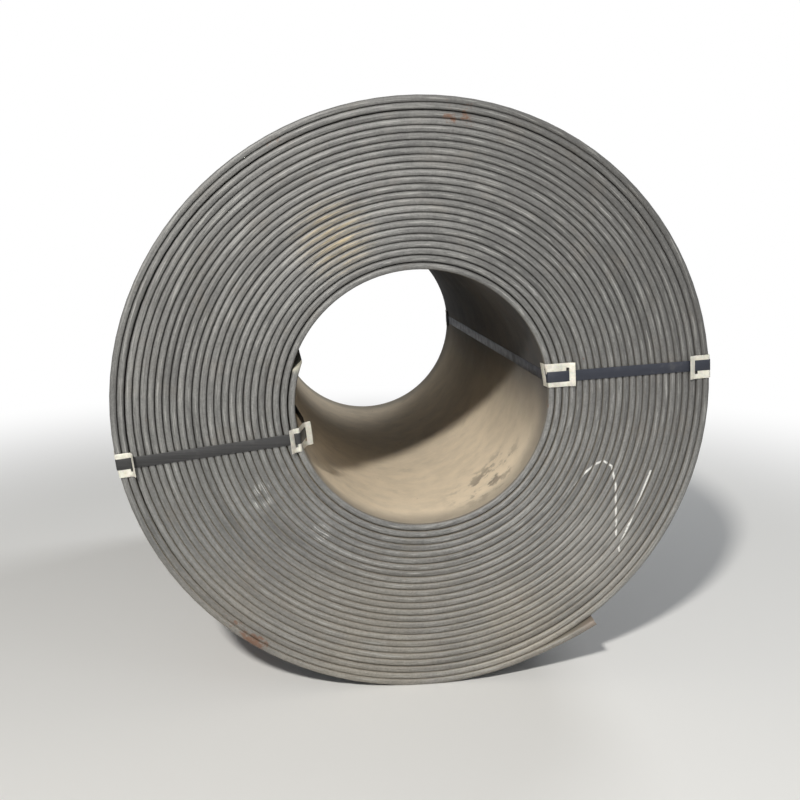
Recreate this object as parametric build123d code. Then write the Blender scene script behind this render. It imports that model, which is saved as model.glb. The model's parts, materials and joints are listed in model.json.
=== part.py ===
"""Strapped coil of hot-rolled carbon steel strip, lying on its side with its bore along Y.

Units are millimetres. The origin is on the coil's axis at the middle of the strip width,
X is to the right and Z is up, seen from the front end at -Y.
"""
import os
from math import cos, radians, sin, sqrt

from build123d import *

# Strip and coil
strip_thickness = 19.5
strip_width = 1800.0
turn_gap = 1.0
turn_count = 25
bore_radius = 370.0
edge_crown = 5.0
groove_depth = 14.0

# Ends of the strip, as angles from +X towards +Z
inner_end_angle = 165.0
inner_end_slant = 4.0
inner_relief_arc = 78.0
outer_end_angle = 307.0
outer_relief_arc = 54.0

# Steel straps, each looped through the bore and round the wall of the coil
strap_width = 32.0
strap_thickness = 0.8
strap_overlap = 170.0
left_strap_angle = 186.9
left_strap_offset = 54.5
left_strap_rear_offset = 54.5
right_strap_angle = 3.3
right_strap_offset = 41.9
right_strap_rear_offset = 0.0

# Crimped seals that close the straps
seal_length = 55.0
seal_gauge = 0.8

# Slotted edge protectors under the straps
protector_width = 70.0
protector_thickness = 0.8
protector_slot_width = 41.0
protector_slot_length = 10.0
protector_bar = 18.0
protector_middle = 66.0
bend_radius = 4.5

# Share of each protector's middle, between its slots, that lies on the end of the coil
left_inner_share = 0.11
left_outer_share = 0.56
right_inner_share = 0.85
right_outer_share = 0.53
rear_share = 0.5

# Clearances between the coil, the protectors and the straps
seat_gap = 0.1
layer_gap = 0.05

# Room that cutting shapes need beyond what they cut
cut_margin = 50.0
relief_margin = 0.5
slot_cut_height = 20.0

pitch = strip_thickness + turn_gap
outer_radius = bore_radius + turn_count * pitch - turn_gap
half_width = strip_width / 2
low = seat_gap
strap_high = seat_gap + protector_thickness + layer_gap
bar_high = seat_gap + strap_thickness + layer_gap
reach = 2 * outer_radius
strap_lay = {
    "left": (left_strap_angle, left_strap_offset, left_strap_rear_offset),
    "right": (right_strap_angle, right_strap_offset, right_strap_rear_offset),
}
front_shares = {
    "left": (left_inner_share, left_outer_share),
    "right": (right_inner_share, right_outer_share),
}


def polar(radius, angle):
    """Point in the X-Z plane at a radius and an angle from +X towards +Z."""
    return (radius * cos(radians(angle)), radius * sin(radians(angle)))


def end_plane(y):
    """Plane across the axis at y, with local X along X and local Y along Z."""
    return Plane(origin=(0, y, 0), x_dir=(1, 0, 0), z_dir=(0, -1, 0))


def prism(face):
    """Flat shape drawn in X and Z, made into a prism longer than the strip is wide."""
    start = end_plane(half_width + cut_margin) * face
    return extrude(start, amount=strip_width + 2 * cut_margin)


def turned_coil():
    """Wound strip as one turned solid whose rounded strip edges show as rings on both ends."""
    shoulder = half_width - edge_crown
    floor = half_width - groove_depth
    edges = [Line((bore_radius, -shoulder), (bore_radius, shoulder))]
    for side in (1, -1):
        turns = range(turn_count) if side > 0 else range(turn_count - 1, -1, -1)
        for turn in turns:
            inside = bore_radius + turn * pitch
            outside = inside + strip_thickness
            first, last = (inside, outside) if side > 0 else (outside, inside)
            middle = inside + strip_thickness / 2
            edges.append(
                ThreePointArc((first, side * shoulder), (middle, side * half_width), (last, side * shoulder))
            )
            at_end = turn == (turn_count - 1 if side > 0 else 0)
            if at_end:
                continue
            following = last + side * turn_gap
            edges.append(Line((last, side * shoulder), (last, side * floor)))
            edges.append(Line((last, side * floor), (following, side * floor)))
            edges.append(Line((following, side * floor), (following, side * shoulder)))
        if side > 0:
            edges.append(Line((outer_radius, shoulder), (outer_radius, -shoulder)))
    profile = Face(Wire(edges))
    return revolve(profile, Axis.Y, 360)


def inner_relief():
    """Space beside the inner end of the strip, where the second turn lies one pitch further out."""
    vanish = inner_end_angle - inner_relief_arc
    depth = pitch + relief_margin
    shift = depth / (1 - cos(radians(inner_relief_arc)))
    disc = Pos(*polar(-shift, vanish)) * Circle(bore_radius + shift - relief_margin)
    sector = make_face(
        Polyline(
            (0, 0),
            polar(reach, vanish - 3),
            polar(reach, (vanish + inner_end_angle) / 2),
            polar(bore_radius + 2 * pitch, inner_end_angle + inner_end_slant),
            polar(bore_radius, inner_end_angle - inner_end_slant / 2),
            close=True,
        )
    )
    return prism(disc & sector)


def outer_relief():
    """Space beyond the outer end of the strip, where the turn beneath it is bare."""
    vanish = outer_end_angle + outer_relief_arc
    depth = pitch + relief_margin
    shift = depth / (1 - cos(radians(outer_relief_arc)))
    disc = Pos(*polar(shift, vanish)) * Circle(outer_radius - shift + relief_margin)
    sector = make_face(
        Polyline(
            (0, 0),
            polar(reach, outer_end_angle),
            polar(reach, (outer_end_angle + vanish) / 2),
            polar(reach, vanish + 3),
            close=True,
        )
    )
    ring = Circle(outer_radius + 2 * pitch) - disc
    return prism(ring & sector)


def offset_line(points, distance, closed):
    """Line moved sideways by a distance, to its right-hand side, with mitred corners."""
    count = len(points)
    moved = []
    for i, (x, y) in enumerate(points):
        ways = []
        if closed or i > 0:
            ways.append((points[i - 1], (x, y)))
        if closed or i < count - 1:
            ways.append(((x, y), points[(i + 1) % count]))
        normals = []
        for (ax, ay), (bx, by) in ways:
            length = sqrt((bx - ax) ** 2 + (by - ay) ** 2)
            normals.append(((by - ay) / length, (ax - bx) / length))
        nx = sum(n[0] for n in normals) / len(normals)
        ny = sum(n[1] for n in normals) / len(normals)
        scale = distance / (nx * nx + ny * ny)
        moved.append((x + nx * scale, y + ny * scale))
    return moved


def near(face, points):
    """Vertices of a flat shape that lie at the given points."""
    found = []
    for x, y in points:
        found.append(face.vertices().sort_by_distance((x, y, 0))[0])
    return found


def turned_slab(profile, lay, width):
    """Profile drawn in radius and Y, turned about the axis and cut to a slab of the given width."""
    angle, front, rear = lay
    sweep = revolve(profile, Axis.Y, 60)
    sweep = Rot(0, -30 - angle, 0) * sweep
    offset = (front + rear) / 2
    lean = (front - rear) / strip_width
    across = Plane(
        origin=(-offset * sin(radians(angle)), 0, offset * cos(radians(angle))),
        x_dir=(cos(radians(angle)), 0, sin(radians(angle))),
        z_dir=(-sin(radians(angle)), lean, cos(radians(angle))),
    )
    slab = across * Box(2 * reach, 2 * strip_width, width)
    return sweep & slab


def strap_corners(inner_share, outer_share):
    """Coil side of a strap on the front end, from the bore to the outside."""
    ramp = protector_slot_length
    a_face = inner_share * protector_middle
    a_wall = protector_middle - a_face
    b_face = outer_share * protector_middle
    b_wall = protector_middle - b_face
    return [
        (bore_radius - low, -half_width + a_wall + ramp),
        (bore_radius - strap_high, -half_width + a_wall),
        (bore_radius - strap_high, -half_width - strap_high),
        (bore_radius + a_face, -half_width - strap_high),
        (bore_radius + a_face + ramp, -half_width - low),
        (outer_radius - b_face - ramp, -half_width - low),
        (outer_radius - b_face, -half_width - strap_high),
        (outer_radius + strap_high, -half_width - strap_high),
        (outer_radius + strap_high, -half_width + b_wall),
        (outer_radius + low, -half_width + b_wall + ramp),
    ]


def strap(lay, shares):
    """Flat strap that lies on the coil and rises over the saddle of each protector."""
    rear = strap_corners(rear_share, rear_share)
    coil_side = strap_corners(*shares) + [(x, -y) for x, y in reversed(rear)]
    open_side = offset_line(coil_side, strap_thickness, True)
    corners = [2, 7, 12, 17]
    hole = make_face(Polyline(*coil_side, close=True))
    hole = fillet(near(hole, [coil_side[i] for i in corners]), bend_radius + strap_high)
    band = make_face(Polyline(*open_side, close=True))
    open_radius = bend_radius + strap_high + strap_thickness
    band = fillet(near(band, [open_side[i] for i in corners]), open_radius)
    band = band - hole
    lap_start = outer_radius + low + strap_thickness
    lap = Pos(lap_start + strap_thickness / 2, 0) * Rectangle(strap_thickness, strap_overlap)
    return turned_slab(band + lap, lay, strap_width)


def seal(lay):
    """Crimped clip over the overlapping ends of a strap, on the outside of the coil."""
    bottom = outer_radius + low
    inside = bottom + 2 * strap_thickness + layer_gap
    top = inside + seal_gauge
    clip = Pos((bottom + top) / 2, 0) * Rectangle(top - bottom, seal_length)
    hollow = Pos((outer_radius + inside) / 2, 0) * Rectangle(inside - outer_radius, 2 * seal_length)
    inner_width = strap_width + 2 * layer_gap
    clip = turned_slab(clip, lay, inner_width + 2 * seal_gauge)
    return clip - turned_slab(hollow, lay, inner_width)


def protector(lay, share, outer, rear):
    """Slotted plate folded over an edge of the coil, its end bars standing over the strap."""
    wall = outer_radius if outer else bore_radius
    out = 1 if outer else -1
    slot = protector_slot_length
    face_saddle = share * protector_middle
    wall_saddle = protector_middle - face_saddle
    face_leg = face_saddle + slot + protector_bar
    wall_leg = wall_saddle + slot + protector_bar
    inward = -out
    coil_side = [
        (wall + inward * face_leg, -half_width - bar_high),
        (wall + inward * (face_saddle + slot), -half_width - bar_high),
        (wall + inward * face_saddle, -half_width - low),
        (wall + out * low, -half_width - low),
        (wall + out * low, -half_width + wall_saddle),
        (wall + out * bar_high, -half_width + wall_saddle + slot),
        (wall + out * bar_high, -half_width + wall_leg),
    ]
    open_side = offset_line(coil_side, out * protector_thickness, False)
    plate = make_face(Polyline(*coil_side, *reversed(open_side), close=True))
    plate = fillet(near(plate, [coil_side[3]]), bend_radius)
    plate = fillet(near(plate, [open_side[3]]), bend_radius + protector_thickness)
    face_slot = Pos(wall + inward * (face_saddle + slot / 2), -half_width) * Rectangle(slot, slot_cut_height)
    wall_slot = Pos(wall, -half_width + wall_saddle + slot / 2) * Rectangle(slot_cut_height, slot)
    if rear:
        plate = mirror(plate, Plane.XZ)
        face_slot = mirror(face_slot, Plane.XZ)
        wall_slot = mirror(wall_slot, Plane.XZ)
    piece = turned_slab(plate, lay, protector_width)
    piece = piece - turned_slab(face_slot, lay, protector_slot_width)
    return piece - turned_slab(wall_slot, lay, protector_slot_width)


nodes = {"coil": turned_coil() - inner_relief() - outer_relief()}
for side, lay in strap_lay.items():
    nodes["strap_" + side] = strap(lay, front_shares[side])
    nodes["seal_" + side] = seal(lay)
    for outer in (False, True):
        for rear in (False, True):
            place = ("rear" if rear else "front") + "_" + ("outer" if outer else "inner")
            share = rear_share if rear else front_shares[side][outer]
            nodes["protector_" + side + "_" + place] = protector(lay, share, outer, rear)

os.makedirs("parts", exist_ok=True)
for name, shape in nodes.items():
    solids = shape.solids()
    if len(solids) != 1:
        raise ValueError(name + " is " + str(len(solids)) + " solids")
    export_step(solids[0], "parts/" + name + ".step")
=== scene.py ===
"""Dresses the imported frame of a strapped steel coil: the wound strip, its straps, seals and edge protectors."""

import json
import math

import bmesh
import bpy
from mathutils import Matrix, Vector


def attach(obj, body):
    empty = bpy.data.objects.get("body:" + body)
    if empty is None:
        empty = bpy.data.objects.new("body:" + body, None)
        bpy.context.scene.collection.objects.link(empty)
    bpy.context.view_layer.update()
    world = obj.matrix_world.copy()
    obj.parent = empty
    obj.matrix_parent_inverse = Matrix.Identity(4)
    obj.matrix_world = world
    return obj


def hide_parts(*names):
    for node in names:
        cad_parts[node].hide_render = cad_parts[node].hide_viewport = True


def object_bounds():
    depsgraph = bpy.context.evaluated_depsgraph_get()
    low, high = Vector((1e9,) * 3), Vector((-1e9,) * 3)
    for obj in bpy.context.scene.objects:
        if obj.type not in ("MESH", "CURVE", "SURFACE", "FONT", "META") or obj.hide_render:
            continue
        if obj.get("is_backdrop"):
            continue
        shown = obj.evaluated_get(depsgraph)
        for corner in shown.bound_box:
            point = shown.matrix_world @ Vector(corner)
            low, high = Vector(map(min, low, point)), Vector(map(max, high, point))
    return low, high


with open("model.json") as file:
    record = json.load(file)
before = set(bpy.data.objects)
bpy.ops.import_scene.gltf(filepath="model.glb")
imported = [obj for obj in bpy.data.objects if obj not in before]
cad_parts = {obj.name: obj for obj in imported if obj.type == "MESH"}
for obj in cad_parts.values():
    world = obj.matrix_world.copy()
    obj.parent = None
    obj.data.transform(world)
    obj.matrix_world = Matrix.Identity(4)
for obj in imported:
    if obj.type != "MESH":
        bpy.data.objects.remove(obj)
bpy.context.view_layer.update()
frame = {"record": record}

bl_info = {
    "name": "Strapped steel coil",
    "version": (1, 0, 0),
    "blender": (4, 5, 0),
    "location": "View3D > Sidebar > Steel coil",
    "description": "Winds a hot-rolled steel strip into a coil and straps it over edge protectors",
    "category": "Object",
}

BODY = "root"
HALF_WIDTH = frame["record"]["mounts"][0]["dims"]["length_mm"] / 2000 + 0.005

# Where each strap lies: the angle of its runs on the ends, and how far they pass from the axis in front and behind
STRAP_LAY = {
    "left": (math.radians(186.9), 0.0545, 0.0545),
    "right": (math.radians(3.3), 0.0419, 0.0),
}

# Turns between which the strip lies looser, and the space that they leave
LOOSE_TURNS = ((0.35, 1.25, 0.0015), (1.3, 2.3, 0.0015), (22.05, 22.35, 0.002))

# How the outer turns lie out of round: number of lobes, their height and the angle of the first
LOBES = (
    (1, 0.0042, math.radians(-94)),
    (2, 0.0060, math.radians(10.3)),
    (3, 0.0017, math.radians(56)),
)

# How unevenly the turns lie, and the share of a turn over which the inner end lies further in
TURN_UNEVEN = 0.0006
HEAD_SHARE = 0.16
HEAD_IN = 0.001

# Shares of a turn: over which the outer end springs off, and within which each end is cut
SPRING_SHARE = 0.05
CUT_SHARE = 0.002

# How far the inner end is cut back across its thickness, and how ragged the outer end is cut
HEAD_SLANT = 1.5
TAIL_RAGGED = 0.06

# Space under a protector or a strap, and between their layers
SEAT = 0.0003
LAYER = 0.0001

# How each protector is folded: its length on the end of the coil, the angle of its edge fold, how far
# its end bars on the end and on the wall are bent up, and how far it sits beside the middle of its strap
FOLDS = {
    "left_front_inner": (0.035, 76, 48, 50, 0.0045),
    "left_front_outer": (0.065, 90, 70, 18, 0.0040),
    "right_front_inner": (0.084, 90, 20, 12, 0.0045),
    "right_front_outer": (0.067, 90, 24, 20, -0.0045),
    "left_rear_inner": (0.061, 90, 26, 14, -0.0030),
    "left_rear_outer": (0.061, 90, 34, 20, 0.0025),
    "right_rear_inner": (0.061, 90, 22, 16, 0.0030),
    "right_rear_outer": (0.061, 90, 40, 18, -0.0020),
}

# Fold of a protector that lies flat on the wall
RIGHT_ANGLE = 90

# Radius of the easy bends of a strap
EASY_BEND = 0.02

# A strap that runs free of the wall: its bends under the plate, a point off the wall with how far off, how far
# in and its bend, and the point where it meets the wall, with how far in and its bend
FREE_BEND = 0.05
FREE_RUN = (0.020, 0.20, 0.20)
FREE_END = (0.46, 0.30)

# How far the end bars of a protector bow
BAR_BOW = 0.0010

# Tones of the mill scale and of what lies on it, with painted shade in the grooves, painted highlights on the crests
# and painted shade in the bore
TONES = {
    "warm_dust": (0.250, 0.230, 0.196),
    "upper_right": (0.104, 0.103, 0.100),
    "brown_patch": (0.17, 0.152, 0.13),
    "worn_edge_and_highlight": (0.41, 0.41, 0.39),
    "groove_shade_and_dirt": (0.066, 0.064, 0.060),
    "dusty_dirt": (0.245, 0.220, 0.180),
    "upper_groove_shade_and_dirt": (0.135, 0.131, 0.125),
    "caked_dirt_and_groove_light": (0.36, 0.335, 0.285),
    "yellow_stain_and_glint": (0.44, 0.35, 0.19),
    "scuff": (0.46, 0.455, 0.44),
    "scratch": (0.62, 0.62, 0.59),
    "haze": (0.33, 0.32, 0.30),
    "bloom": (0.17, 0.125, 0.09),
    "bore_scale_and_shade": (0.035, 0.035, 0.034),
    "dust_streak": (0.40, 0.335, 0.25),
    "rubbed": (0.15, 0.125, 0.105),
    "cut_head": (0.56, 0.54, 0.44),
    "dark_tail": (0.13, 0.10, 0.08),
    "pale_tail": (0.36, 0.30, 0.25),
}

# Round spots on the strip: the middle and the reach of each
YELLOW_STAIN_AND_GLINT = ((-0.25, 0.0, 0.475), 0.15)
SCRATCHED = (((-0.47, 0.0, -0.265), 0.07), ((-0.30, 0.0, -0.385), 0.05))
SCUFFED_TOP = ((0.0, 0.0, 0.66), 0.34)
HAZY = ((0.55, 0.0, -0.46), 0.22)
RUBBED = ((0.24, -0.72, -0.28), 0.20)
RUSTY_TOP = ((0.07, 0.0, 0.82), 0.12)
RUSTY_LOW = ((-0.51, 0.0, -0.70), 0.15)

# Way out from the axis to the turns whose grooves are packed with dust and painted lighter as if lit along the turns,
# and how widely
CAKED_AND_LIT_GROOVES = ((-0.788, 0.0, -0.616), 0.62)

# Chalk strokes on the front end, each a line through points, and their width
CHALK_STROKES = (
    ((0.700, -0.231), (0.641, -0.390), (0.609, -0.465), (0.612, -0.480)),
    (
        (0.466, -0.268), (0.494, -0.230), (0.527, -0.203), (0.551, -0.194),
        (0.577, -0.211), (0.592, -0.270), (0.600, -0.432),
    ),
)
CHALK_WIDTH = 0.0042

# Distances from the axis between which the floor fades to white
FADE = (1.7, 4.2)

# Lamps: place, aim, size, power and tint
LAMPS = {
    "key": ((-2.9, -7.7, 5.3), (0, -0.9, 0), 0.7, 845, (1.0, 0.97, 0.92)),
    "fill": ((4.2, -4.4, 2.6), (0, -0.4, 0), 3.2, 20, (0.96, 0.98, 1.0)),
    "rear": ((5.2, 5.2, 6.0), (0, 0.4, 0), 4.0, 260, (0.97, 0.985, 1.0)),
}


class StripSettings(bpy.types.PropertyGroup):
    """Sizes and colours of the wound strip."""

    thickness: bpy.props.FloatProperty(
        name="Thickness", description="Thickness of the strip", default=0.0195, unit="LENGTH"
    )
    gap: bpy.props.FloatProperty(
        name="Gap", description="Mean space between turns", default=0.0008, unit="LENGTH"
    )
    inner_radius: bpy.props.FloatProperty(
        name="Inner radius", description="Radius of the bore at the inner end", default=0.366, unit="LENGTH"
    )
    turns: bpy.props.FloatProperty(
        name="Turns", description="Turns from the inner end to the outer end", default=24.402
    )
    inner_end_angle: bpy.props.FloatProperty(
        name="Inner end", description="Place of the inner end round the bore",
        default=math.radians(162.5), subtype="ANGLE",
    )
    crown: bpy.props.FloatProperty(
        name="Edge crown", description="How far the mill edge bulges", default=0.0070, unit="LENGTH"
    )
    wander: bpy.props.FloatProperty(
        name="Wander", description="How far a turn's edge may lie back from the end", default=0.004, unit="LENGTH"
    )
    tail_lift: bpy.props.FloatProperty(
        name="Tail lift", description="How far the outer end springs off the coil", default=0.004, unit="LENGTH"
    )
    tail_shift: bpy.props.FloatProperty(
        name="Tail shift", description="How far the outer end stands out of the front end", default=0.024, unit="LENGTH"
    )
    steps: bpy.props.IntProperty(
        name="Steps", description="Straight steps in each turn", default=100
    )
    scale_colour: bpy.props.FloatVectorProperty(
        name="Mill scale", description="Colour of clean mill scale", default=(0.175, 0.175, 0.171), subtype="COLOR"
    )
    wall_colour: bpy.props.FloatVectorProperty(
        name="Wall", description="Colour of the strip's rolled faces", default=(0.135, 0.138, 0.145), subtype="COLOR"
    )
    dust_colour: bpy.props.FloatVectorProperty(
        name="Dust", description="Colour of dust and thin rust bloom", default=(0.84, 0.72, 0.55), subtype="COLOR"
    )
    rust_colour: bpy.props.FloatVectorProperty(
        name="Rust", description="Colour of rust spots", default=(0.16, 0.062, 0.022), subtype="COLOR"
    )
    chalk_colour: bpy.props.FloatVectorProperty(
        name="Chalk", description="Colour of chalk strokes", default=(0.74, 0.74, 0.71), subtype="COLOR"
    )


class StrapSettings(bpy.types.PropertyGroup):
    """Sizes and colours of the straps and their seals."""

    width: bpy.props.FloatProperty(
        name="Width", description="Width of a strap", default=0.032, unit="LENGTH"
    )
    gauge: bpy.props.FloatProperty(
        name="Gauge", description="Thickness of a strap", default=0.0009, unit="LENGTH"
    )
    overlap: bpy.props.FloatProperty(
        name="Overlap", description="Length of the double run under a seal", default=0.17, unit="LENGTH"
    )
    seal_length: bpy.props.FloatProperty(
        name="Seal length", description="Length of a crimped seal", default=0.055, unit="LENGTH"
    )
    colour: bpy.props.FloatVectorProperty(
        name="Strap colour", description="Colour of the blued steel", default=(0.036, 0.036, 0.037), subtype="COLOR"
    )


class ProtectorSettings(bpy.types.PropertyGroup):
    """Sizes and colour of the slotted edge protectors."""

    width: bpy.props.FloatProperty(
        name="Width", description="Width of a plate along the edge", default=0.070, unit="LENGTH"
    )
    gauge: bpy.props.FloatProperty(
        name="Gauge", description="Thickness of the plate", default=0.0014, unit="LENGTH"
    )
    slot_width: bpy.props.FloatProperty(
        name="Slot width", description="Width of the slots that the strap passes", default=0.041, unit="LENGTH"
    )
    slot_length: bpy.props.FloatProperty(
        name="Slot length", description="Length of a slot along the strap", default=0.009, unit="LENGTH"
    )
    bar: bpy.props.FloatProperty(
        name="End bar", description="Length of the bar that stands over the strap", default=0.018, unit="LENGTH"
    )
    length: bpy.props.FloatProperty(
        name="Length", description="Length of a plate before it is folded", default=0.122, unit="LENGTH"
    )
    bend_radius: bpy.props.FloatProperty(
        name="Bend radius", description="Radius of the fold over the edge", default=0.006, unit="LENGTH"
    )
    colour: bpy.props.FloatVectorProperty(
        name="Zinc colour", description="Colour of the dull zinc", default=(0.72, 0.70, 0.62), subtype="COLOR"
    )


class StageSettings(bpy.types.PropertyGroup):
    """Camera, light and floor."""

    camera_place: bpy.props.FloatVectorProperty(
        name="Camera", description="Place of the camera", default=(-0.467, -4.047, 0.631), subtype="TRANSLATION"
    )
    camera_way: bpy.props.FloatVectorProperty(
        name="View", description="Direction that the camera looks in",
        default=(0.1247, 0.9733, -0.1929), subtype="DIRECTION",
    )
    lens: bpy.props.FloatProperty(
        name="Lens", description="Focal length for a 36 mm wide picture", default=50.31, unit="CAMERA"
    )
    floor_colour: bpy.props.FloatVectorProperty(
        name="Floor", description="Colour of the floor", default=(0.82, 0.82, 0.81), subtype="COLOR"
    )


class Graph:
    """Short way to add nodes to a node tree and join them."""

    def __init__(self, tree):
        self.tree = tree

    def node(self, kind, settings=None, **inputs):
        made = self.tree.nodes.new(kind)
        for name, value in (settings or {}).items():
            setattr(made, name, value)
        for name, value in inputs.items():
            self.feed(made.inputs[name.replace("_", " ")], value)
        return made

    def feed(self, socket, value):
        if isinstance(value, bpy.types.NodeSocket):
            self.tree.links.new(value, socket)
        elif value is not None:
            socket.default_value = value

    def math(self, operation, *values):
        made = self.tree.nodes.new("ShaderNodeMath")
        made.operation = operation
        for socket, value in zip(made.inputs, values):
            self.feed(socket, value)
        return made.outputs[0]

    def vector(self, x, y, z):
        made = self.tree.nodes.new("ShaderNodeCombineXYZ")
        for socket, value in zip(made.inputs, (x, y, z)):
            self.feed(socket, value)
        return made.outputs[0]

    def parts(self, vector):
        made = self.tree.nodes.new("ShaderNodeSeparateXYZ")
        self.feed(made.inputs[0], vector)
        return made.outputs[0], made.outputs[1], made.outputs[2]

    def arrow(self, operation, first, second=None, scale=None):
        made = self.tree.nodes.new("ShaderNodeVectorMath")
        made.operation = operation
        self.feed(made.inputs[0], first)
        self.feed(made.inputs[1], second)
        if operation == "SCALE":
            self.feed(made.inputs["Scale"], scale)
        return made.outputs["Value" if operation in ("DOT_PRODUCT", "LENGTH") else "Vector"]

    def spot(self, place, middle, reach):
        """1 in the middle of a round spot, 0 beyond its reach."""
        away = self.arrow("SUBTRACT", place, middle)
        return self.ramp(self.arrow("LENGTH", away), reach, 0.0)

    def strokes(self, flat, points, width):
        """1 on a line drawn through points, 0 beside it."""
        nearest = 1.0
        for (x0, z0), (x1, z1) in zip(points, points[1:]):
            run = (x1 - x0, 0.0, z1 - z0)
            away = self.arrow("SUBTRACT", flat, (x0, 0.0, z0))
            share = self.math("MULTIPLY", self.arrow("DOT_PRODUCT", away, run), 1 / (run[0] ** 2 + run[2] ** 2))
            share = self.math("MINIMUM", self.math("MAXIMUM", share, 0.0), 1.0)
            away = self.arrow("SUBTRACT", away, self.arrow("SCALE", run, scale=share))
            nearest = self.math("MINIMUM", self.arrow("LENGTH", away), nearest)
        return self.ramp(nearest, width, width * 0.4)

    def ramp(self, value, low, high, first=0.0, last=1.0):
        made = self.tree.nodes.new("ShaderNodeMapRange")
        made.interpolation_type = "SMOOTHSTEP"
        for socket, number in zip(made.inputs, (value, low, high, first, last)):
            self.feed(socket, number)
        return made.outputs[0]

    def noise(self, vector, scale, detail, roughness):
        made = self.node("ShaderNodeTexNoise", Vector=vector, Scale=scale, Detail=detail, Roughness=roughness)
        return made.outputs[0]

    def wave(self, place, scale):
        """Smooth wander about 0 along a number."""
        made = self.node("ShaderNodeTexNoise", {"noise_dimensions": "1D"}, W=place, Scale=scale, Detail=2.0)
        return self.math("SUBTRACT", made.outputs[0], 0.5)

    def mix(self, amount, first, second, blend="MIX"):
        made = self.tree.nodes.new("ShaderNodeMix")
        made.data_type = "RGBA"
        made.blend_type = blend
        self.feed(made.inputs[0], amount)
        for socket, value in ((made.inputs[6], first), (made.inputs[7], second)):
            if not isinstance(value, bpy.types.NodeSocket):
                value = tuple(value)[:3] + (1.0,)
            self.feed(socket, value)
        return made.outputs[2]


def new_material(name):
    """Empty node material and its graph, shader and Object coordinates."""
    material = bpy.data.materials.new(name)
    material.use_nodes = True
    tree = material.node_tree
    tree.nodes.clear()
    graph = Graph(tree)
    shader = tree.nodes.new("ShaderNodeBsdfPrincipled")
    output = tree.nodes.new("ShaderNodeOutputMaterial")
    tree.links.new(shader.outputs[0], output.inputs[0])
    place = tree.nodes.new("ShaderNodeTexCoord").outputs["Object"]
    return material, graph, shader, place


def finish_surface(graph, shader, colour, roughness, height, depth, metallic):
    """Joins colour, roughness and a bump to a shader, and sets how metallic it is."""
    graph.feed(shader.inputs["Base Color"], colour)
    graph.feed(shader.inputs["Roughness"], roughness)
    bump = graph.node("ShaderNodeBump", Height=height, Strength=1.0, Distance=depth)
    graph.feed(shader.inputs["Normal"], bump.outputs[0])
    shader.inputs["Metallic"].default_value = metallic


def streaky(graph, amount, colour, first, last):
    """Colour that runs from one share of itself to another."""
    return graph.mix(amount, [first * c for c in colour], [last * c for c in colour])


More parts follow.
